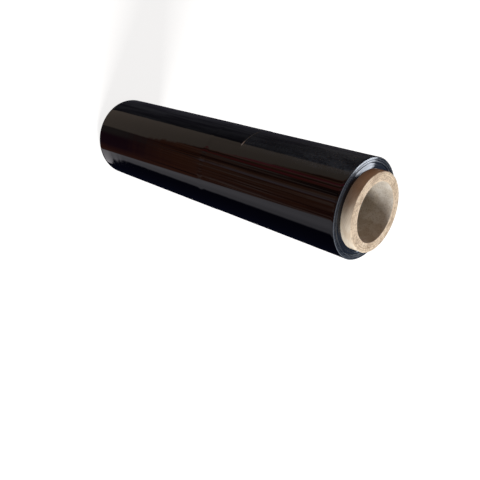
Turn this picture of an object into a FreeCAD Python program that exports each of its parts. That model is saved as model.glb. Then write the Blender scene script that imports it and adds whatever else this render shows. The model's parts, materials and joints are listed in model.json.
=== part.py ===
"""A roll of black stretch film for wrapping pallets, wound on a thick paperboard core.

The roll stands on the end of its core. The origin is the centre of the lower end of the core,
and +Z runs up the axis of the roll. All sizes are in millimetres and degrees.
"""

import FreeCAD
import Part
import math
import os

# Sizes of the core
CORE_BORE_DIAMETER = 76.2
CORE_WALL = 13.0
CORE_PROJECTION = 14.0
CORE_EDGE_BREAK = 0.5

# Sizes of the wound film
FILM_WIDTH = 500.0
FILM_BUILD_UP = 14.4
FILM_SHOULDER_RADIUS = 0.8

# The side of the wound film: it thins a little towards both ends. The outermost turns fall short
# of the upper end, and their edges leave a low step all round the roll.
END_TAPER = 0.2
END_TAPER_LENGTH = 30.0
OUTER_TURNS_THICKNESS = 0.4
OUTER_TURNS_SETBACK = 231.0
STEP_HEIGHT = 1.0

# The ends of the film: blocks of turns that lean outwards. Each block starts further out than the
# one inside it, with a groove between them, and small groups of turns stand a little in or out.
BLOCK_STARTS = (0.0, 0.33, 0.60, 0.80)
BLOCK_LEAN = 8.0
BLOCK_RISE = 0.3
GROOVE_WIDTH = 0.35
TURN_GROUP_WIDTH = 1.2
TURN_GROUP_DEPTH = 0.15
TURN_GROUP_PHASE_STEP = 137.5
BLOCK_PHASE_STEP = 120.0
UPPER_END_PHASE = 90.0
LOWER_END_PHASE = 95.0

# The free end of the last turn: a strip of it is lapped over the side above the step. The strip
# starts at its root, inside the turn below, and is thickest at its free end.
LAP_THICKNESS = 0.3
LAP_SETBACK = 179.0
LAP_FREE_END_ANGLE = -147.0
LAP_ARC = 230.0
LAP_ROOT_DEPTH = 2.0
LAP_FOOT = 5.0

UP = FreeCAD.Vector(0, 0, 1)
AXIS_POINT = FreeCAD.Vector(0, 0, 0)

core_inner_radius = CORE_BORE_DIAMETER / 2
core_outer_radius = core_inner_radius + CORE_WALL
core_length = FILM_WIDTH + 2 * CORE_PROJECTION
film_radius = core_outer_radius + FILM_BUILD_UP
film_bottom = CORE_PROJECTION
film_top = film_bottom + FILM_WIDTH
outer_turns_top = film_top - OUTER_TURNS_SETBACK
outer_turns_radius = film_radius + OUTER_TURNS_THICKNESS


def profile_point(radius, height):
    """A point of a profile that is turned round the axis."""
    return FreeCAD.Vector(radius, 0, height)


def plan_point(radius, angle, height=0.0):
    """A point at a radius and an angle round the axis."""
    turn = math.radians(angle)
    return FreeCAD.Vector(radius * math.cos(turn), radius * math.sin(turn), height)


def line(start, end):
    """A straight edge."""
    return Part.LineSegment(start, end).toShape()


def arc(start, middle, end):
    """A round edge through three points."""
    return Part.Arc(start, middle, end).toShape()


def chain(points):
    """Straight edges from each point to the next."""
    return [line(start, end) for start, end in zip(points, points[1:])]


def turned(edges):
    """The solid that a closed profile makes when it is turned once round the axis."""
    return Part.Face(Part.Wire(edges)).revolve(AXIS_POINT, UP, 360)


def make_core():
    """The paperboard tube, cut square at both ends, with its four edges slightly broken."""
    inner = core_inner_radius
    outer = core_outer_radius
    cut = CORE_EDGE_BREAK
    section = [
        profile_point(inner + cut, 0),
        profile_point(outer - cut, 0),
        profile_point(outer, cut),
        profile_point(outer, core_length - cut),
        profile_point(outer - cut, core_length),
        profile_point(inner + cut, core_length),
        profile_point(inner, core_length - cut),
        profile_point(inner, cut),
        profile_point(inner + cut, 0),
    ]
    return turned(chain(section))


def block_points(first, last, start_depth, phase):
    """Radius and depth of the turns of one block, which leans outwards from first to last.

    The depth is how far the turns lie inside the end of the roll.
    """
    count = max(2, round((last - first) / TURN_GROUP_WIDTH))
    width = (last - first) / count
    points = []
    for group in range(count + 1):
        wave = 0.5 - 0.5 * math.sin(math.radians(phase + group * TURN_GROUP_PHASE_STEP))
        lean = group * width * math.tan(math.radians(BLOCK_LEAN))
        depth = start_depth + lean + TURN_GROUP_DEPTH * wave
        points.append((first + group * width, depth))
    return points


def film_end(side_radius, end_height, inward, phase):
    """The edges of one end of the wound film, from the core out to the side.

    inward is -1 at the upper end and +1 at the lower end. The last edge is the round shoulder.
    """
    inner = core_outer_radius
    build_up = side_radius - FILM_SHOULDER_RADIUS - inner
    starts = [inner + share * build_up for share in BLOCK_STARTS]
    ends = [start - GROOVE_WIDTH for start in starts[1:]] + [inner + build_up]
    depths = []
    for number, (first, last) in enumerate(zip(starts, ends)):
        start_depth = BLOCK_RISE * (len(starts) - 1 - number)
        block_phase = phase + number * BLOCK_PHASE_STEP
        depths += block_points(first, last, start_depth, block_phase)
    points = [profile_point(radius, end_height + inward * depth) for radius, depth in depths]
    reach = FILM_SHOULDER_RADIUS * math.sqrt(0.5)
    rim = points[-1]
    below = FreeCAD.Vector(0, 0, inward * FILM_SHOULDER_RADIUS)
    middle = rim + below + FreeCAD.Vector(reach, 0, -inward * reach)
    side = rim + below + FreeCAD.Vector(FILM_SHOULDER_RADIUS, 0, 0)
    return chain(points) + [arc(rim, middle, side)]


def make_turns():
    """All the wound turns: ridged at both ends, tapered towards them and stepped on the side."""
    upper_end = film_end(film_radius - END_TAPER, film_top, -1, UPPER_END_PHASE)
    lower_end = film_end(outer_turns_radius - END_TAPER, film_bottom, 1, LOWER_END_PHASE)
    side = [
        upper_end[-1].lastVertex().Point,
        profile_point(film_radius, film_top - END_TAPER_LENGTH),
        profile_point(film_radius, outer_turns_top),
        profile_point(outer_turns_radius, outer_turns_top - STEP_HEIGHT),
        profile_point(outer_turns_radius, film_bottom + END_TAPER_LENGTH),
        lower_end[-1].lastVertex().Point,
    ]
    inner_wall = line(lower_end[0].firstVertex().Point, upper_end[0].firstVertex().Point)
    return turned(upper_end + chain(side) + lower_end[::-1] + [inner_wall])


def make_lap():
    """The free end of the last turn, which thins back into the turn below."""
    free = LAP_FREE_END_ANGLE
    middle = free - LAP_ARC / 2
    root = free - LAP_ARC
    free_radius = film_radius + LAP_THICKNESS
    root_radius = film_radius - LAP_THICKNESS / 2
    middle_radius = (free_radius + root_radius) / 2
    inner_radius = film_radius - LAP_ROOT_DEPTH
    bottom = outer_turns_top - LAP_FOOT
    top = film_top - LAP_SETBACK
    outer_arc = arc(plan_point(free_radius, free, bottom),
                    plan_point(middle_radius, middle, bottom),
                    plan_point(root_radius, root, bottom))
    inner_arc = arc(plan_point(inner_radius, root, bottom),
                    plan_point(inner_radius, middle, bottom),
                    plan_point(inner_radius, free, bottom))
    edges = [
        outer_arc,
        line(plan_point(root_radius, root, bottom), plan_point(inner_radius, root, bottom)),
        inner_arc,
        line(plan_point(inner_radius, free, bottom), plan_point(free_radius, free, bottom)),
    ]
    return Part.Face(Part.Wire(edges)).extrude(UP * (top - bottom))


def make_film():
    """The wound turns and the free end of the last one, as one solid."""
    film = make_turns().fuse(make_lap()).removeSplitter()
    return film.Solids[0]


def write_step(shape, name):
    """Writes one piece to its own file, and says what it is."""
    shape.exportStep(os.path.join("parts", name + ".step"))
    box = shape.BoundBox
    print(name, "solids", len(shape.Solids), "valid", shape.isValid(),
          "volume", round(shape.Volume), "height", round(box.ZMin, 3), round(box.ZMax, 3))


os.makedirs("parts", exist_ok=True)
write_step(make_core(), "core_tube")
write_step(make_film(), "film_roll")
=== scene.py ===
"""The looks of a roll of black stretch film that stands on the end of its paperboard core.

Everything is in metres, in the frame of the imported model: the origin is the centre of the lower
end of the core, and +Z runs up the axis of the roll. Angles round the roll are in degrees from +X.
"""

import json
import math

import bpy
import numpy as np
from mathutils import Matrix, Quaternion, Vector


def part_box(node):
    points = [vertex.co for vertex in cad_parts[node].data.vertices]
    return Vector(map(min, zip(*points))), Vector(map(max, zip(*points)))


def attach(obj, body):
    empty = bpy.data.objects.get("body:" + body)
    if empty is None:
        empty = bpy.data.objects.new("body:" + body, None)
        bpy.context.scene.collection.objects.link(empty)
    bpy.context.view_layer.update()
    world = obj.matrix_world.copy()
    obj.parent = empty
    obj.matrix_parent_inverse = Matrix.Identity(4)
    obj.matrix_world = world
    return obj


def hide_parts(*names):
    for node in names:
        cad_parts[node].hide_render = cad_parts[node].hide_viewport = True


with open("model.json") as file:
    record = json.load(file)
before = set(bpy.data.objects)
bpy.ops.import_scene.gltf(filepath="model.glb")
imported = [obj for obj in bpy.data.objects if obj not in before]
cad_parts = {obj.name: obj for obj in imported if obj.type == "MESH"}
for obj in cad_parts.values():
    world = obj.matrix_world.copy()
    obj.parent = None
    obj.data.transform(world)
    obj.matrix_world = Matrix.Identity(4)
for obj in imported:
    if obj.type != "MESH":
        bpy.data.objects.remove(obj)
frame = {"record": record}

MM = 0.001
SEED = 20

# The camera, as fitted to the outlines of the roll in the photograph
CAMERA_PLACE = Vector((-0.2731, -0.5457, 0.8604))
CAMERA_DIRECTION = Vector((0.44187, 0.61953, -0.6488))
CAMERA_ROLL = 112.97
CAMERA_FOCAL_PIXELS = 558.3
CAMERA_NEAR = 0.02
CAMERA_FAR = 100.0
PICTURE_PIXELS = 480
SENSOR_WIDTH = 36.0

# The frame's sizes
core_low, core_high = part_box("core_tube")
film_low, film_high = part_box("film_roll")
mounts = {mount["name"]: mount for mount in frame["record"]["mounts"]}
BORE_RADIUS = mounts["core_bore"]["dims"]["r_mm"] * MM
CORE_RADIUS = core_high.x
CORE_BOTTOM = core_low.z
CORE_TOP = core_high.z
FILM_BOTTOM = film_low.z
FILM_TOP = film_high.z

# The side of the wound film. Its bands are given by their length along the roll and their depth,
# and its dents by the least and the most that they reach, in degrees and in millimetres.
OUTER_TURNS_THICKNESS = 0.4 * MM
OUTER_TURNS_TOP = FILM_TOP - 231 * MM
STEP_HEIGHT = 10.0 * MM
FILM_RADIUS = film_high.x - OUTER_TURNS_THICKNESS
END_TAPER = 0.2 * MM
END_TAPER_LENGTH = 30 * MM
SHOULDER_RADIUS = 0.8 * MM
SKIN_GAP = 0.06 * MM
GAUGE_BANDS = (
    (61.0 * MM, 0.020 * MM),
    (37.0 * MM, 0.012 * MM),
    (17.0 * MM, 0.006 * MM),
    (9.3 * MM, 0.003 * MM),
)
DENT_COUNT = 16
DENT_DEPTH = 0.05 * MM
DENT_ANGLES = (6, 16)
DENT_HEIGHTS = (12, 40)

# The ends of the wound film. Their depth wobbles a little, in one wave round the roll and in three.
BLOCK_STARTS = (0.0, 0.33, 0.60, 0.80)
BLOCK_LEAN = 8.0
BLOCK_RISE = 0.3 * MM
GROOVE_WIDTH = 0.35 * MM
TURN_GROUP_WIDTH = 1.2 * MM
TURN_GROUP_DEPTH = 0.15 * MM
TURN_GROUP_PHASE_STEP = 137.5
BLOCK_PHASE_STEP = 120.0
UPPER_END_PHASE = 90.0
LOWER_END_PHASE = 95.0
FINE_RIDGE_DEPTH = 0.010 * MM
FINE_RIDGE_PITCH = 0.66 * MM
END_WOBBLE = 0.06
END_WOBBLE_OF_THREE = 0.04

# The free end of the last turn
LAP_THICKNESS = 0.3 * MM
LAP_TOP = FILM_TOP - 179 * MM
LAP_FREE_END = -147.0
LAP_ARC = 150.0
LAP_EDGE = 0.35 * MM
BEAD_HEIGHT = 0.08 * MM

# The hazy part of the side, which is dusty and has a painted sheen, lies above the lap. It starts
# and ends softly, between these angles.
HAZE_START = (100, 140)
HAZE_END = (-152, -140)

# The core
EDGE_BREAK = 0.5 * MM
PLY_THICKNESS = 0.62 * MM
PLY_RELIEF = 0.06 * MM
TORN_SHARE = 0.4
EDGE_FRAY = 0.15 * MM
WALL_SWELL = 0.04 * MM

# The meshes
FILM_COLUMNS = 240
FILM_SIDE_ROWS = 150
EDGE_ROWS = 9
EDGE_CLEARANCE = 1.3
SIDE_START = 0.3 * MM
BLOCK_ROWS = 21
SHOULDER_ROWS = 7
CORE_COLUMNS = 240
CORE_END_ROWS = 44
CORE_SIDE_ROWS = 60


def smooth_step(value, low, high):
    """0 below low, 1 above high, and a soft step between them."""
    share = np.clip((value - low) / (high - low), 0.0, 1.0)
    return share * share * (3 - 2 * share)


def columns_of_angles(count):
    """The angle of each column of a mesh, in degrees."""
    return np.linspace(-180.0, 180.0, count, endpoint=False)


def lathe(name, radius, height, materials, row_material):
    """A closed mesh from grids of radius and height, whose rows close up into a ring.

    Both grids have a row for each point of the profile and a column for each angle.
    """
    rows, columns = radius.shape
    angle = np.radians(columns_of_angles(columns))
    points = np.stack([radius * np.cos(angle), radius * np.sin(angle), height], axis=-1)
    here = np.arange(rows * columns).reshape(rows, columns)
    right = np.roll(here, -1, axis=1)
    down = np.roll(here, -1, axis=0)
    across = np.roll(down, -1, axis=1)
    faces = np.stack([here, down, across, right], axis=-1).reshape(-1, 4)
    mesh = bpy.data.meshes.new(name)
    mesh.from_pydata(points.reshape(-1, 3).tolist(), [], faces.tolist())
    for material in materials:
        mesh.materials.append(material)
    mesh.polygons.foreach_set("material_index", np.repeat(row_material, columns).astype(np.int32))
    mesh.polygons.foreach_set("use_smooth", np.ones(rows * columns, dtype=bool))
    mesh.update()
    piece = bpy.data.objects.new(name, mesh)
    bpy.context.scene.collection.objects.link(piece)
    return piece


class Nodes:
    """A short way to write the nodes of one tree."""

    def __init__(self, tree):
        self.tree = tree

    def node(self, kind, **settings):
        """A new node with its settings."""
        made = self.tree.nodes.new(kind)
        for key, value in settings.items():
            setattr(made, key, value)
        return made

    def put(self, value, socket):
        """Links a socket to another, or sets its value."""
        if isinstance(value, bpy.types.NodeSocket):
            self.tree.links.new(value, socket)
        else:
            socket.default_value = value

    def math(self, operation, first, second=0.0, third=0.0):
        """A sum on one, two or three values."""
        made = self.node("ShaderNodeMath", operation=operation)
        for value, socket in zip((first, second, third), made.inputs):
            self.put(value, socket)
        return made.outputs[0]

    def times(self, first, second):
        """Two values multiplied."""
        return self.math("MULTIPLY", first, second)

    def step(self, value, low, high, start=0.0, end=1.0):
        """A soft step from start to end as value goes from low to high."""
        made = self.node("ShaderNodeMapRange", interpolation_type="SMOOTHSTEP")
        for entry, socket in zip((value, low, high, start, end), made.inputs):
            self.put(entry, socket)
        return made.outputs[0]

    def past(self, value, start, before, after):
        """A soft step from 0 to 1 as value passes start, between the offsets before and after."""
        return self.step(self.math("SUBTRACT", value, start), before, after)

    def band(self, value, low, high, edge):
        """1 between low and high, 0 outside them, with soft edges."""
        rise = self.step(value, low - edge, low + edge)
        fall = self.step(value, high - edge, high + edge, 1.0, 0.0)
        return self.times(rise, fall)

    def outside(self, value, low, high, edge):
        """0 between low and high, 1 outside them, with soft edges."""
        return self.math("SUBTRACT", 1.0, self.band(value, low, high, edge))

    def mix(self, share, first, second):
        """A colour between two others."""
        made = self.node("ShaderNodeMix", data_type="RGBA")
        self.put(share, made.inputs[0])
        self.put(first, made.inputs[6])
        self.put(second, made.inputs[7])
        return made.outputs[2]

    def seen_rays(self):
        """1 for rays that show the background: from the camera, in gloss and through glass."""
        rays = self.node("ShaderNodeLightPath").outputs
        seen = self.math("MAXIMUM", rays["Is Camera Ray"], rays["Is Glossy Ray"])
        return self.math("MAXIMUM", seen, rays["Is Transmission Ray"])


class Shader(Nodes):
    """The nodes of one material."""

    def __init__(self, name):
        self.material = bpy.data.materials.new(name)
        self.material.use_nodes = True
        super().__init__(self.material.node_tree)
        self.tree.nodes.clear()
        self.output = self.node("ShaderNodeOutputMaterial")

    def point(self):
        """The point of the surface, in the frame of the model."""
        return self.node("ShaderNodeTexCoord").outputs["Object"]

    def coordinates(self, point):
        """The three coordinates of a point."""
        parts = self.node("ShaderNodeSeparateXYZ")
        self.put(point, parts.inputs[0])
        return parts.outputs[0], parts.outputs[1], parts.outputs[2]

    def height(self, point):
        """How high a point lies."""
        return self.coordinates(point)[2]

    def radius(self, point):
        """The distance of a point from the axis of the roll."""
        squares = [self.times(value, value) for value in self.coordinates(point)[:2]]
        return self.math("SQRT", self.math("ADD", *squares))

    def degrees(self, point):
        """The angle of a point round the axis of the roll, from 0 to 360 degrees."""
        x, y = self.coordinates(point)[:2]
        turn = self.times(self.math("ARCTAN2", y, x), 180 / math.pi)
        return self.math("MODULO", self.math("ADD", turn, 360.0), 360.0)

    def stretched(self, point, across, along):
        """The point scaled by one value across the roll and another along it."""
        made = self.node("ShaderNodeVectorMath", operation="MULTIPLY")
        self.put(point, made.inputs[0])
        self.put((across, across, along), made.inputs[1])
        return made.outputs[0]

    def flat_point(self, first, second):
        """A point with two coordinates, for a pattern on the cards."""
        made = self.node("ShaderNodeCombineXYZ")
        self.put(first, made.inputs[0])
        self.put(second, made.inputs[1])
        return made.outputs[0]

    def noise(self, point, scale=1.0, detail=3.0, roughness=0.5, offset=0.0):
        """A noise value round 0.5."""
        made = self.node("ShaderNodeTexNoise", noise_dimensions="4D")
        self.put(point, made.inputs["Vector"])
        self.put(offset, made.inputs["W"])
        self.put(scale, made.inputs["Scale"])
        self.put(detail, made.inputs["Detail"])
        self.put(roughness, made.inputs["Roughness"])
        return made.outputs["Fac"]

    def line_noise(self, value, detail=2.0):
        """A noise value round 0.5 along one number."""
        made = self.node("ShaderNodeTexNoise", noise_dimensions="1D")
        self.put(value, made.inputs["W"])
        self.put(1.0, made.inputs["Scale"])
        self.put(detail, made.inputs["Detail"])
        return made.outputs["Fac"]

    def bump(self, height, distance, below=None):
        """A surface that looks raised by distance for each unit of height."""
        made = self.node("ShaderNodeBump")
        self.put(distance, made.inputs["Distance"])
        self.put(height, made.inputs["Height"])
        if below is not None:
            self.put(below, made.inputs["Normal"])
        return made.outputs[0]

    def principled(self, **inputs):
        """The surface shader, with its sockets set or linked by name."""
        made = self.node("ShaderNodeBsdfPrincipled")
        for key, value in inputs.items():
            self.put(value, made.inputs[key.replace("_", " ")])
        self.put(made.outputs[0], self.output.inputs["Surface"])

    def emission(self, tone, strength=1.0):
        """A surface that glows in one colour."""
        made = self.node("ShaderNodeEmission")
        self.put(tone, made.inputs["Color"])
        self.put(strength, made.inputs["Strength"])
        return made.outputs[0]


def colour(red, green, blue):
    """A colour in linear values."""
    return (red, green, blue, 1.0)


# The looks of the film's side: its dusty haze with a painted sheen is faint at one height and full
# at another; the lap's edge has a painted highlight line, and a painted glint at its free end
FILM_BLACK = colour(0.0008, 0.0007, 0.0022)
FILM_DUST_AND_GLINT = colour(0.58, 0.68, 0.82)
FILM_HAZE_AND_SHEEN = colour(0.070, 0.140, 0.310)
FILM_LAP_HIGHLIGHT = colour(0.10, 0.15, 0.20)
HAZE_FAINT_HEIGHT = 400 * MM
HAZE_FULL_HEIGHT = 500 * MM
LINE_HALF_WIDTH = 0.4 * MM
LINE_REACH = 1.1 * MM
LINE_START = 150.0
LINE_END = 360.0 + LAP_FREE_END
LINE_GLINT_FROM = (205.0, 208.0)
SWELL_DEPTH = 0.05 * MM
FINE_LINE_DEPTH = 0.010 * MM

# The looks of the film's ends: a painted highlight on the rim, and a matt groove and a crest with
# a painted highlight at each outer block.
# The inner turns are shaded as if they leaned further outwards than they do.
FILM_EDGE_DARK = colour(0.0010, 0.0013, 0.0026)
FILM_EDGE_PALE = colour(0.007, 0.010, 0.015)
FILM_RIM_HIGHLIGHT = colour(0.085, 0.096, 0.115)
RIM_INNER = FILM_RADIUS - 1.8 * MM
RIM_OUTER = FILM_RADIUS - 1.1 * MM
GROOVE_FROM, GROOVE_TO = -0.6 * MM, 0.5 * MM
CREST_FROM, CREST_TO = 0.7 * MM, 1.2 * MM
BLOCK_LINE_EDGE = 0.2 * MM
RINGS_PER_METRE = 2400.0
INNER_TURNS_LEAN = 10.0
NICK_DEPTH = 0.05 * MM
RING_DEPTH = 0.020 * MM


def make_film_side():
    """Glossy black film: fine lines round the roll, haze and dust, painted sheen, the lap's painted
    highlights.
    """
    shader = Shader("film_side")
    point = shader.point()
    height = shader.height(point)
    turn = shader.degrees(point)
    hazy = shader.node("ShaderNodeAttribute", attribute_name="haze").outputs["Fac"]
    lines = shader.noise(shader.stretched(point, 6.0, 900.0), detail=2.0)
    swells = shader.noise(shader.stretched(point, 20.0, 60.0), detail=1.0, offset=3.0)
    smears = shader.noise(shader.stretched(point, 70.0, 25.0), detail=4.0, offset=7.0)
    mottles = shader.noise(shader.stretched(point, 330.0, 260.0), detail=5.0, offset=8.0)
    specks = shader.noise(point, scale=900.0, detail=1.0, offset=11.0)
    rise = shader.step(height, HAZE_FAINT_HEIGHT, HAZE_FULL_HEIGHT, 0.50, 1.5)
    dust_and_sheen = shader.times(hazy, rise)
    speck_share = shader.times(shader.step(specks, 0.66, 0.75, 0.0, 0.6), dust_and_sheen)
    haze_and_sheen_share = shader.times(shader.step(smears, 0.35, 0.65, 0.35, 1.0), dust_and_sheen)
    haze_and_sheen_share = shader.times(shader.step(mottles, 0.38, 0.62, 0.55, 1.10), haze_and_sheen_share)
    off_edge = shader.math("ABSOLUTE", shader.math("SUBTRACT", height, LAP_TOP))
    edge = shader.times(shader.step(off_edge, LINE_HALF_WIDTH, LINE_REACH, 1.0, 0.0),
                        shader.band(turn, LINE_START, LINE_END, 1.5))
    lap_tip_glint = shader.times(edge, shader.step(turn, *LINE_GLINT_FROM))
    # The haze's colour is dust with a painted bluish sheen
    base = shader.mix(haze_and_sheen_share, FILM_BLACK, FILM_HAZE_AND_SHEEN)
    # A painted highlight line along the lap's edge
    base = shader.mix(edge, base, FILM_LAP_HIGHLIGHT)
    # A painted glint at the lap's free end, in the colour of the dust specks
    base = shader.mix(lap_tip_glint, base, FILM_DUST_AND_GLINT)
    base = shader.mix(speck_share, base, FILM_DUST_AND_GLINT)
    roughness = shader.math("MULTIPLY_ADD", smears, 0.04, 0.03)
    roughness = shader.math("MULTIPLY_ADD", haze_and_sheen_share, 0.06, roughness)
    roughness = shader.math("MULTIPLY_ADD", edge, 0.40, roughness)
    normal = shader.bump(swells, SWELL_DEPTH)
    normal = shader.bump(lines, FINE_LINE_DEPTH, below=normal)
    shader.principled(Base_Color=base, Roughness=roughness, IOR=1.5, Normal=normal)
    return shader.material


def make_film_end():
    """The edges of the turns: black with fine rings, painted highlights at the rim and outer
    blocks.
    """
    shader = Shader("film_end")
    point = shader.point()
    radius = shader.radius(point)
    ring = shader.line_noise(shader.times(radius, RINGS_PER_METRE))
    nicks = shader.noise(point, scale=180.0, detail=3.0, offset=4.0)
    nicked = shader.step(nicks, 0.40, 0.60, 0.35, 0.90)
    # pale marks the painted highlights: at the rim, and on the nicked crests below
    pale = shader.step(radius, RIM_INNER, RIM_OUTER)
    grooves = 0.0
    build_up = FILM_RADIUS - SHOULDER_RADIUS - CORE_RADIUS
    for share in BLOCK_STARTS[2:]:
        start = CORE_RADIUS + share * build_up
        groove = shader.band(radius, start + GROOVE_FROM, start + GROOVE_TO, BLOCK_LINE_EDGE)
        grooves = shader.math("MAXIMUM", grooves, groove)
        crest = shader.band(radius, start + CREST_FROM, start + CREST_TO, BLOCK_LINE_EDGE)
        pale = shader.math("MAXIMUM", pale, shader.times(crest, nicked))
    base = shader.mix(shader.step(ring, 0.45, 0.75), FILM_EDGE_DARK, FILM_EDGE_PALE)
    base = shader.mix(pale, base, FILM_RIM_HIGHLIGHT)
    roughness = shader.math("MULTIPLY_ADD", ring, 0.05, 0.04)
    roughness = shader.math("MULTIPLY_ADD", grooves, 0.45, roughness)
    leaning = shader.math("MINIMUM", radius, CORE_RADIUS + BLOCK_STARTS[2] * build_up)
    normal = shader.bump(leaning, -math.tan(math.radians(INNER_TURNS_LEAN)))
    normal = shader.bump(nicks, NICK_DEPTH, below=normal)
    normal = shader.bump(ring, RING_DEPTH, below=normal)
    shader.principled(Base_Color=base, Roughness=roughness, IOR=1.5, Normal=normal)
    return shader.material


# The looks of the core
BOARD_PALE = colour(0.90, 0.77, 0.60)
BOARD_MID = colour(0.62, 0.495, 0.36)
BOARD_DARK = colour(0.29, 0.19, 0.11)
SKIN_PALE = colour(0.80, 0.71, 0.58)
SKIN_MID = colour(0.70, 0.59, 0.45)
BORE_PALE = colour(0.62, 0.58, 0.52)
BORE_MID = colour(0.50, 0.44, 0.36)
BORE_DARK = colour(0.26, 0.20, 0.145)
PLY_RINGS = 0.45
STREAK_RISE_PER_DEGREE = 0.30 * MM
STREAKS_PER_METRE = 900.0
SEAM_PITCH = 150 * MM
SEAM_PHASE = 10.75
SEAM_HALF_WIDTH = (0.002, 0.006)


def make_core_end():
    """The cut end of the tube: rings of plies, with torn fibres and blotches."""
    shader = Shader("core_cut_end")
    point = shader.point()
    wander = shader.noise(point, scale=45.0, detail=2.0, offset=2.0)
    plies = shader.times(shader.radius(point), PLY_RINGS / PLY_THICKNESS)
    ring = shader.line_noise(shader.math("ADD", plies, wander), detail=3.0)
    blotches = shader.noise(point, scale=70.0, detail=6.0, roughness=0.70, offset=5.0)
    grit = shader.noise(point, scale=330.0, detail=3.0, roughness=0.6, offset=12.0)
    fibres = shader.noise(point, scale=900.0, detail=3.0, roughness=0.6, offset=9.0)
    base = shader.mix(shader.step(ring, 0.38, 0.62), BOARD_MID, BOARD_PALE)
    base = shader.mix(shader.step(blotches, 0.46, 0.60, 0.0, 0.62), base, BOARD_DARK)
    base = shader.mix(shader.step(grit, 0.50, 0.66, 0.0, 0.70), base, BOARD_DARK)
    base = shader.mix(shader.step(fibres, 0.42, 0.66, 0.0, 0.50), base, BOARD_PALE)
    normal = shader.bump(blotches, 0.30 * MM)
    normal = shader.bump(fibres, 0.20 * MM, below=normal)
    shader.principled(Base_Color=base, Roughness=0.86, Normal=normal)
    return shader.material


def make_core_side():
    """The smooth outer ply, with faint slanting streaks and blotches."""
    shader = Shader("core_side")
    point = shader.point()
    slant = shader.math("MULTIPLY_ADD", shader.degrees(point), STREAK_RISE_PER_DEGREE,
                        shader.height(point))
    streaks = shader.line_noise(shader.times(slant, STREAKS_PER_METRE), detail=3.0)
    blotches = shader.noise(point, scale=60.0, detail=5.0, roughness=0.6, offset=6.0)
    fibres = shader.noise(point, scale=1100.0, detail=2.0, offset=8.0)
    base = shader.mix(shader.step(blotches, 0.38, 0.66), SKIN_PALE, SKIN_MID)
    base = shader.mix(shader.step(streaks, 0.45, 0.70, 0.0, 0.22), base, BOARD_DARK)
    normal = shader.bump(streaks, 0.04 * MM)
    normal = shader.bump(fibres, 0.06 * MM, below=normal)
    shader.principled(Base_Color=base, Roughness=0.72, Normal=normal)
    return shader.material


def make_core_bore():
    """The inner ply: greyer and blotchy, with the seam of its wound strip."""
    shader = Shader("core_bore")
    point = shader.point()
    blotches = shader.noise(shader.stretched(point, 75.0, 60.0), detail=6.0, roughness=0.65)
    fibres = shader.noise(point, scale=600.0, detail=4.0, offset=8.0)
    turns = shader.times(shader.degrees(point), 1 / 360)
    climb = shader.times(shader.height(point), 1 / SEAM_PITCH)
    phase = shader.math("ADD", shader.math("SUBTRACT", climb, turns), SEAM_PHASE)
    off_seam = shader.math("SUBTRACT", shader.math("FRACT", phase), 0.5)
    seam = shader.step(shader.math("ABSOLUTE", off_seam), *SEAM_HALF_WIDTH, 1.0, 0.0)
    base = shader.mix(shader.step(blotches, 0.38, 0.62), BORE_PALE, BORE_MID)
    base = shader.mix(shader.step(fibres, 0.48, 0.72, 0.0, 0.55), base, BORE_DARK)
    base = shader.mix(shader.times(seam, 0.20), base, BORE_DARK)
    normal = shader.bump(fibres, 0.18 * MM)
    normal = shader.bump(seam, -0.06 * MM, below=normal)
    shader.principled(Base_Color=base, Roughness=0.84, Normal=normal)
    return shader.material


def side_radius(height):
    """The radius of the wound film at a height: stepped, and tapered towards both ends."""
    to_end = np.minimum(FILM_TOP - height, height - FILM_BOTTOM)
    taper = END_TAPER * (1 - smooth_step(to_end, 0.0, END_TAPER_LENGTH))
    outer = 1 - smooth_step(height, OUTER_TURNS_TOP - STEP_HEIGHT, OUTER_TURNS_TOP)
    return FILM_RADIUS + OUTER_TURNS_THICKNESS * outer - taper


def lap_share(angle):
    """How thick the lap is at an angle, from 1 at its free end to 0 at its root."""
    behind = np.mod(LAP_FREE_END - angle, 360.0)
    return np.clip(1.0 - behind / LAP_ARC, 0.0, 1.0)


def lap_radius(height, angle):
    """The radius of the free end of the last turn, with the thin bead of its edge."""
    below_top = 1.0 - smooth_step(height, LAP_TOP - LAP_EDGE, LAP_TOP + LAP_EDGE)
    bead = BEAD_HEIGHT * np.exp(-((height - LAP_TOP + 2 * LAP_EDGE) / (2 * LAP_EDGE)) ** 2)
    return FILM_RADIUS + lap_share(angle) * (LAP_THICKNESS * below_top + bead)


def film_relief(height, angle, random):
    """The slight bands and shallow dents of the wound film, all of them inwards."""
    relief = np.zeros(np.broadcast(height, angle).shape)
    for length, depth in GAUGE_BANDS:
        wave = np.sin(height / length * 2 * math.pi + random.uniform(0, 6))
        relief += depth * (wave - 1)
    for dent in range(DENT_COUNT):
        place = random.uniform(-180, 180), random.uniform(FILM_BOTTOM, FILM_TOP)
        size = random.uniform(*DENT_ANGLES), random.uniform(*DENT_HEIGHTS) * MM
        across = (np.mod(angle - place[0] + 180, 360) - 180) / size[0]
        along = (height - place[1]) / size[1]
        relief -= DENT_DEPTH * random.uniform(0.3, 1.0) * np.exp(-across**2 - along**2)
    return relief


def side_heights(top, bottom):
    """The heights of the rows of the film's side, closer together at the lap and the step."""
    heights = np.linspace(top, bottom, FILM_SIDE_ROWS)
    step_middle = OUTER_TURNS_TOP - STEP_HEIGHT / 2
    for edge, reach in ((LAP_TOP, 2.5 * LAP_EDGE), (step_middle, STEP_HEIGHT)):
        heights = heights[np.abs(heights - edge) > EDGE_CLEARANCE * reach]
        heights = np.append(heights, np.linspace(edge - reach, edge + reach, EDGE_ROWS))
    return np.sort(heights)[::-1]


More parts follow.
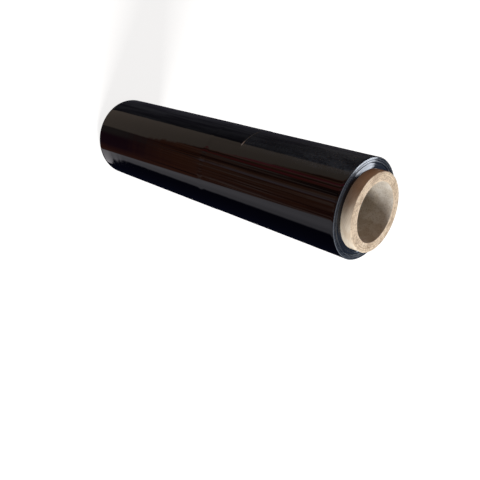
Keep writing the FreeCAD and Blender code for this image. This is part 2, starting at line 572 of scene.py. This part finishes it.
def block(first, last, start_depth, phase):
    """Radius and depth of one block of turns, which leans outwards from first to last."""
    groups = max(2, round((last - first) / TURN_GROUP_WIDTH))
    places = np.linspace(first, last, groups + 1)
    waves = 0.5 - 0.5 * np.sin(np.radians(phase + np.arange(groups + 1) * TURN_GROUP_PHASE_STEP))
    radius = np.linspace(first, last, BLOCK_ROWS)
    lean = (radius - first) * math.tan(math.radians(BLOCK_LEAN))
    return radius, start_depth + lean + np.interp(radius, places, TURN_GROUP_DEPTH * waves)


def film_end(end_height, inward, phase, random):
    """Radius and height grids of one end of the film, from the core out to its round shoulder."""
    last = side_radius(end_height) - SKIN_GAP - SHOULDER_RADIUS
    starts = [CORE_RADIUS + share * (last - CORE_RADIUS) for share in BLOCK_STARTS]
    ends = [start - GROOVE_WIDTH for start in starts[1:]] + [last]
    blocks = [block(first, end, BLOCK_RISE * (len(starts) - 1 - number),
                    phase + number * BLOCK_PHASE_STEP)
              for number, (first, end) in enumerate(zip(starts, ends))]
    radius, depth = np.concatenate(blocks, axis=1)
    angle = np.radians(columns_of_angles(FILM_COLUMNS))
    drift = random.uniform(0, 2 * math.pi, 4)
    wobble = (1.0 + END_WOBBLE * np.sin(angle + drift[0])
              + END_WOBBLE_OF_THREE * np.sin(3 * angle + drift[1]))
    fine = 0.5 + 0.5 * np.sin(radius / FINE_RIDGE_PITCH * 2 * math.pi + drift[2])
    total = depth[:, None] * wobble + FINE_RIDGE_DEPTH * fine[:, None]
    turn = np.linspace(0.0, math.pi / 2, SHOULDER_ROWS + 1)[1:-1]
    rim_radius = last + SHOULDER_RADIUS * np.sin(turn)
    rim_depth = total[-1] + SHOULDER_RADIUS * (1 - np.cos(turn))[:, None]
    radius = np.concatenate([radius, rim_radius])
    total = np.concatenate([total, rim_depth])
    radii = np.repeat(radius[:, None], FILM_COLUMNS, axis=1)
    return radii, end_height + inward * total


def mark_haze(piece, heights, angle, rows_above, rows):
    """Writes where the film is hazy. The side's rows come after rows_above rows of the mesh."""
    around = smooth_step(-angle, -HAZE_END[1], -HAZE_END[0]) + smooth_step(angle, *HAZE_START)
    haze = np.zeros((rows, FILM_COLUMNS), dtype=np.float32)
    above_lap = smooth_step(heights, LAP_TOP, LAP_TOP + LAP_EDGE)
    haze[rows_above:rows_above + len(heights)] = above_lap * around
    attribute = piece.data.attributes.new("haze", "FLOAT", "POINT")
    attribute.data.foreach_set("value", haze.ravel())


def make_film():
    """All the turns of film as one closed mesh, with the free end of the last one."""
    random = np.random.default_rng(SEED)
    angle = columns_of_angles(FILM_COLUMNS)[None, :]
    upper = film_end(FILM_TOP, -1, UPPER_END_PHASE, random)
    lower = film_end(FILM_BOTTOM, 1, LOWER_END_PHASE, random)
    heights = side_heights(upper[1][-1].min() - SIDE_START, lower[1][-1].max() + SIDE_START)
    heights = heights[:, None] * np.ones(FILM_COLUMNS)
    side = np.maximum(side_radius(heights), lap_radius(heights, angle))
    side += film_relief(heights, angle, random) - SKIN_GAP
    radius = np.concatenate([upper[0], side, lower[0][::-1]])
    height = np.concatenate([upper[1], heights, lower[1][::-1]])
    # The look of the ends reaches half-way round their shoulders
    end_rows = len(BLOCK_STARTS) * BLOCK_ROWS + SHOULDER_ROWS // 2
    row_material = np.zeros(len(radius), dtype=np.int32)
    row_material[:end_rows] = 1
    row_material[-end_rows - 1:] = 1
    piece = lathe("film_turns", radius, height, [make_film_side(), make_film_end()], row_material)
    mark_haze(piece, heights, angle, len(upper[0]), len(radius))
    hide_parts("film_roll")
    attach(piece, "root")


def core_face(end_height, inward, random):
    """Radius and height grids of a cut end of the tube, with ridges of plies and frayed edges."""
    radius = np.linspace(BORE_RADIUS + EDGE_BREAK, CORE_RADIUS - EDGE_BREAK, CORE_END_ROWS)
    ridge = 0.5 + 0.5 * np.sin(radius / PLY_THICKNESS * 2 * math.pi)
    torn = random.uniform(0.0, 1.0, (CORE_END_ROWS, CORE_COLUMNS))
    depth = PLY_RELIEF * ((1 - TORN_SHARE) * ridge[:, None] + TORN_SHARE * torn)
    for row in (0, -1):
        fray = random.uniform(0.0, 1.0, CORE_COLUMNS)
        depth[row] += EDGE_FRAY * (fray + np.roll(fray, 1) + np.roll(fray, 2)) / 3
    return radius[:, None] * np.ones(CORE_COLUMNS), end_height + inward * depth


def core_wall(radius, into_board):
    """Radius and height grids of a wall of the tube, from its top down."""
    angle = np.radians(columns_of_angles(CORE_COLUMNS))
    swell = WALL_SWELL * np.abs(np.sin(2 * angle + 1.0))
    heights = np.linspace(CORE_TOP - EDGE_BREAK, CORE_BOTTOM + EDGE_BREAK, CORE_SIDE_ROWS)
    ones = np.ones((CORE_SIDE_ROWS, 1))
    return radius + into_board * swell * ones, heights[:, None] * np.ones(CORE_COLUMNS)


def make_core():
    """The paperboard tube as one closed mesh."""
    random = np.random.default_rng(SEED + 1)
    upper = core_face(CORE_TOP, -1, random)
    lower = core_face(CORE_BOTTOM, 1, random)
    outside = core_wall(CORE_RADIUS, -1)
    inside = core_wall(BORE_RADIUS, 1)
    parts = [upper, outside, (lower[0][::-1], lower[1][::-1]), (inside[0][::-1], inside[1][::-1])]
    radius = np.concatenate([part[0] for part in parts])
    height = np.concatenate([part[1] for part in parts])
    row_material = np.repeat([0, 1, 0, 2], [CORE_END_ROWS, CORE_SIDE_ROWS] * 2)
    piece = lathe("paper_core", radius, height,
                  [make_core_end(), make_core_side(), make_core_bore()], row_material)
    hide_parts("core_tube")
    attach(piece, "root")


# The stage
FLOOR_SIZE = 12.0
FLOOR_TONE = colour(0.30, 0.30, 0.30)
FLOOR_GLOW = 0.84
WHITE = colour(1.0, 1.0, 1.0)
AMBIENT_WARM = colour(0.158, 0.069, 0.022)
AMBIENT_PALE = colour(0.22, 0.22, 0.22)
PALE_SIDE = Vector((0.68, -0.44, 0.58))
PALE_SIDE_REACH = (-0.10, 0.80)

# The glowing cards that show in the gloss. A card's edge is an angle round the roll, in degrees,
# or a slope, which is a height over the radius of the cards. A fall is a slope downwards, and a
# lean is how many degrees an edge moves for each unit of fall.
CARD_RADIUS = 4.0
CARD_HEIGHT = 32.0
CARD_SIDES = 128
LEAST_FALL = 0.45
DARK_EDGE = (58.0, 112.0)
WARM_EDGE = (172.5, 175.5)
BROWN_START = 180.0
BROWN_LEAN = 35.0
BROWN_STEEP_FALL = 1.13
BROWN_STEEP_LEAN = 60.0
BROWN_LAST_START = 231.0
PALE_START = 277.5
PALE_LEAN = 21.0
PALE_SHADED_EDGE = (302.0, 316.0)
PALE_LOW_EDGE = (1.35, 1.50)
BLACK_START = 321.5
BLACK_BEND_FALL = 1.3305
BLACK_BEND = 2785.0
PANEL_LEFT = 70.0
PANEL_RIGHT = 104.0
PANEL_LEAN = -0.0222
PANEL_TOP = (-0.70, -0.54)
PANEL_BOTTOM = (0.69, 0.76)
RIM_CARD_START = 301.0
RIM_CARD_END = 22.0
RIM_CARD_RISES_FROM = 290.0
UPPER_EDGE = (0.10, 0.50)
UPPER_RIM_EDGE = (0.10, 0.42)

# Colours of the cards, and the streaks of the brown one: middle and reach in degrees, strength
CARD_DARK = colour(0.070, 0.070, 0.084)
CARD_DARK_LOW = colour(0.030, 0.028, 0.040)
CARD_UPPER = colour(0.16, 0.21, 0.32)
CARD_WARM = colour(0.37, 0.30, 0.25)
CARD_BROWN = colour(0.24, 0.080, 0.040)
CARD_TAN = colour(0.45, 0.26, 0.18)
CARD_PURPLE = colour(0.065, 0.024, 0.040)
CARD_OLIVE = colour(0.120, 0.105, 0.095)
CARD_THREAD = colour(0.46, 0.36, 0.32)
CARD_PALE = colour(0.62, 0.60, 0.66)
CARD_PALE_SHADED = colour(0.40, 0.39, 0.43)
CARD_PALE_LOW = colour(1.0, 0.95, 1.0)
CARD_BLACK = colour(0.004, 0.005, 0.013)
CARD_PANEL = colour(8.0, 8.6, 9.6)
CARD_RIM = colour(1.1, 1.2, 1.4)
STREAK_EDGE = 1.8
STREAKS = (
    (203.5, 2.0, 0.85, CARD_BLACK),
    (210.5, 2.4, 0.90, colour(0.62, 0.030, 0.135)),
    (216.0, 1.2, 0.70, CARD_BLACK),
    (220.5, 1.6, 0.90, colour(0.50, 0.030, 0.090)),
    (230.0, 6.0, 0.90, CARD_BLACK),
    (241.0, 2.5, 0.60, CARD_TAN),
    (246.5, 2.2, 0.65, colour(0.50, 0.46, 0.56)),
    (254.0, 2.0, 0.45, CARD_TAN),
)


def make_floor():
    """A plain white floor under the roll, which keeps its soft shadow."""
    shader = Shader("white_floor")
    diffuse = shader.node("ShaderNodeBsdfDiffuse")
    shader.put(FLOOR_TONE, diffuse.inputs["Color"])
    strength = shader.times(shader.seen_rays(), FLOOR_GLOW)
    both = shader.node("ShaderNodeAddShader")
    shader.put(diffuse.outputs[0], both.inputs[0])
    shader.put(shader.emission(WHITE, strength), both.inputs[1])
    shader.put(both.outputs[0], shader.output.inputs["Surface"])
    bpy.ops.mesh.primitive_plane_add(size=FLOOR_SIZE, location=(0, 0, CORE_BOTTOM))
    floor = bpy.context.object
    floor.name = "floor"
    floor.data.materials.append(shader.material)
    floor.visible_glossy = False
    floor.visible_diffuse = False


def dark_card(shader, turn, slope):
    """The dark card: black at one edge, and clouded from there on."""
    place = shader.flat_point(shader.times(turn, 0.10), shader.times(slope, 5.0))
    clouds = shader.noise(place, detail=4.0, roughness=0.6, offset=30.0)
    clouded = shader.mix(shader.step(clouds, 0.36, 0.64), CARD_DARK_LOW, CARD_DARK)
    return shader.mix(shader.step(turn, *DARK_EDGE), CARD_BLACK, clouded)


def brown_card(shader, turn, slope, fall):
    """The red-brown card: streaks and threads run up and down it, and its foot is darker."""
    place = shader.flat_point(shader.times(turn, 0.27), shader.times(slope, 1.6))
    grain = shader.noise(place, detail=4.0, roughness=0.6, offset=2.0)
    patches = shader.noise(place, scale=2.5, offset=15.0)
    threads = shader.noise(place, detail=3.0, roughness=0.6, offset=20.0)
    tan = shader.times(shader.step(grain, 0.45, 0.72), shader.step(turn, 262.0, 274.0, 1.0, 0.15))
    brown = shader.mix(tan, CARD_BROWN, CARD_TAN)
    brown = shader.mix(shader.step(grain, 0.28, 0.45, 0.8, 0.0), brown, CARD_PURPLE)
    high = shader.step(fall, 0.82, 1.10, 1.0, 0.0)
    strength = shader.times(high, shader.step(patches, 0.38, 0.58, 0.30, 1.0))
    for middle, reach, share, tone in STREAKS:
        across = shader.band(turn, middle - reach, middle + reach, STREAK_EDGE)
        across = shader.times(across, share)
        brown = shader.mix(shader.times(across, strength), brown, tone)
    bright = shader.times(shader.step(threads, 0.50, 0.64, 0.0, 0.80), strength)
    brown = shader.mix(bright, brown, CARD_THREAD)
    brown = shader.mix(shader.step(threads, 0.34, 0.50, 0.85, 0.0), brown, CARD_BLACK)
    uneven = shader.math("MULTIPLY_ADD", grain, 0.30, shader.math("SUBTRACT", fall, 0.15))
    low = shader.times(shader.step(uneven, 1.02, 1.42),
                       shader.step(turn, 280.0, 304.0, 1.0, 0.35))
    brown = shader.mix(low, brown, CARD_PURPLE)
    corner = shader.times(shader.step(uneven, 1.16, 1.44, 0.0, 0.8),
                          shader.step(turn, 243.0, 260.0, 1.0, 0.0))
    return shader.mix(corner, brown, CARD_OLIVE)


def brown_start(shader, fall):
    """The angle at which the brown card starts. Its edge leans more below a certain fall."""
    steep = shader.math("MAXIMUM", shader.math("SUBTRACT", fall, BROWN_STEEP_FALL), 0.0)
    start = shader.math("MULTIPLY_ADD", fall, BROWN_LEAN, BROWN_START)
    start = shader.math("MULTIPLY_ADD", steep, BROWN_STEEP_LEAN, start)
    return shader.math("MINIMUM", start, BROWN_LAST_START)


def pale_card(shader, turn, fall):
    """The pale card: shaded towards its far edge, and brighter at its foot."""
    pale = shader.mix(shader.step(turn, *PALE_SHADED_EDGE), CARD_PALE, CARD_PALE_SHADED)
    return shader.mix(shader.step(fall, *PALE_LOW_EDGE), pale, CARD_PALE_LOW)


def black_start(shader, fall):
    """The angle at which the last black card starts. Its edge bends away at its foot."""
    low = shader.math("MAXIMUM", shader.math("SUBTRACT", fall, BLACK_BEND_FALL), 0.0)
    return shader.math("MULTIPLY_ADD", shader.times(low, low), BLACK_BEND, BLACK_START)


def upper_cards(shader, turn, slope):
    """The cards above the roll: dark blue, with a bright panel, and a pale card for the rim."""
    above = shader.math("MULTIPLY_ADD", turn, PANEL_LEAN, slope)
    panel = shader.times(shader.band(turn, PANEL_LEFT, PANEL_RIGHT, 1.5),
                         shader.step(above, *PANEL_TOP, 1.0, 0.0))
    panel = shader.times(panel, shader.step(slope, *PANEL_BOTTOM))
    tone = shader.mix(panel, CARD_UPPER, CARD_PANEL)
    rim = shader.outside(turn, RIM_CARD_END, RIM_CARD_START, 3.0)
    return shader.mix(rim, tone, CARD_RIM)


def upper_share(shader, turn, slope):
    """Where the upper cards show: above the others, and from a little lower near the rim's card."""
    near_rim = shader.outside(turn, RIM_CARD_END, RIM_CARD_RISES_FROM, 3.0)
    rim = shader.times(shader.step(slope, *UPPER_RIM_EDGE), near_rim)
    return shader.math("MAXIMUM", shader.step(slope, *UPPER_EDGE), rim)


def make_cards():
    """The glowing dark and pale cards that stand far round the roll, and show only in its gloss."""
    shader = Shader("studio_cards")
    point = shader.point()
    turn = shader.degrees(point)
    slope = shader.times(shader.height(point), 1.0 / CARD_RADIUS)
    fall = shader.math("MAXIMUM", shader.times(slope, -1.0), LEAST_FALL)
    pale_start = shader.math("MULTIPLY_ADD", fall, PALE_LEAN, PALE_START)
    tone = dark_card(shader, turn, slope)
    tone = shader.mix(shader.step(turn, *WARM_EDGE), tone, CARD_WARM)
    brown = brown_card(shader, turn, slope, fall)
    tone = shader.mix(shader.past(turn, brown_start(shader, fall), -1.0, 3.0), tone, brown)
    pale = pale_card(shader, turn, fall)
    tone = shader.mix(shader.past(turn, pale_start, -1.5, 1.5), tone, pale)
    tone = shader.mix(shader.past(turn, black_start(shader, fall), -3.0, 3.0), tone, CARD_BLACK)
    upper = upper_cards(shader, turn, slope)
    tone = shader.mix(upper_share(shader, turn, slope), tone, upper)
    shader.put(shader.emission(tone), shader.output.inputs["Surface"])
    bpy.ops.mesh.primitive_cylinder_add(vertices=CARD_SIDES, radius=CARD_RADIUS,
                                        depth=CARD_HEIGHT, end_fill_type="NOTHING")
    cards = bpy.context.object
    cards.name = "studio_cards"
    cards.data.materials.append(shader.material)
    for ray in ("camera", "diffuse", "transmission", "volume_scatter", "shadow"):
        setattr(cards, "visible_" + ray, False)


def make_world():
    """Soft light: pale from one side, warm and dim from the other, on a white background."""
    world = bpy.data.worlds.new("studio")
    bpy.context.scene.world = world
    world.use_nodes = True
    sky = Nodes(world.node_tree)
    towards = sky.node("ShaderNodeVectorMath", operation="DOT_PRODUCT")
    sky.put(sky.node("ShaderNodeTexCoord").outputs["Generated"], towards.inputs[0])
    sky.put(PALE_SIDE.normalized(), towards.inputs[1])
    share = sky.step(towards.outputs["Value"], *PALE_SIDE_REACH)
    ambient = sky.mix(share, AMBIENT_WARM, AMBIENT_PALE)
    shown = sky.mix(sky.seen_rays(), ambient, WHITE)
    sky.put(shown, world.node_tree.nodes["Background"].inputs["Color"])


def add_lamp(name, azimuth, elevation, distance, size, power, tint):
    """A square soft lamp that points at the upper end of the roll."""
    turn, lift = math.radians(azimuth), math.radians(elevation)
    level = math.cos(lift)
    back = Vector((math.cos(turn) * level, math.sin(turn) * level, math.sin(lift)))
    data = bpy.data.lights.new(name, "AREA")
    data.size = size
    data.energy = power
    data.color = tint
    lamp = bpy.data.objects.new(name, data)
    lamp.location = Vector((0, 0, CORE_TOP)) + back * distance
    lamp.rotation_mode = "QUATERNION"
    lamp.rotation_quaternion = (-back).to_track_quat("-Z", "Y")
    lamp.visible_glossy = False
    bpy.context.scene.collection.objects.link(lamp)


def make_camera():
    """The camera at the place and angle that the photograph was taken from."""
    data = bpy.data.cameras.new("camera")
    data.sensor_width = SENSOR_WIDTH
    data.lens = CAMERA_FOCAL_PIXELS * SENSOR_WIDTH / PICTURE_PIXELS
    data.clip_start = CAMERA_NEAR
    data.clip_end = CAMERA_FAR
    camera = bpy.data.objects.new("camera", data)
    camera.location = CAMERA_PLACE
    camera.rotation_mode = "QUATERNION"
    level = CAMERA_DIRECTION.to_track_quat("-Z", "Y")
    camera.rotation_quaternion = level @ Quaternion((0, 0, 1), math.radians(CAMERA_ROLL))
    bpy.context.scene.collection.objects.link(camera)
    bpy.context.scene.camera = camera


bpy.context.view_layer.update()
bpy.context.scene.view_settings.view_transform = "Standard"
make_camera()
make_core()
make_film()
make_floor()
make_cards()
make_world()
add_lamp("key", azimuth=-22.0, elevation=38.0, distance=8.0, size=2.6, power=780.0,
         tint=(1.0, 0.985, 0.96))
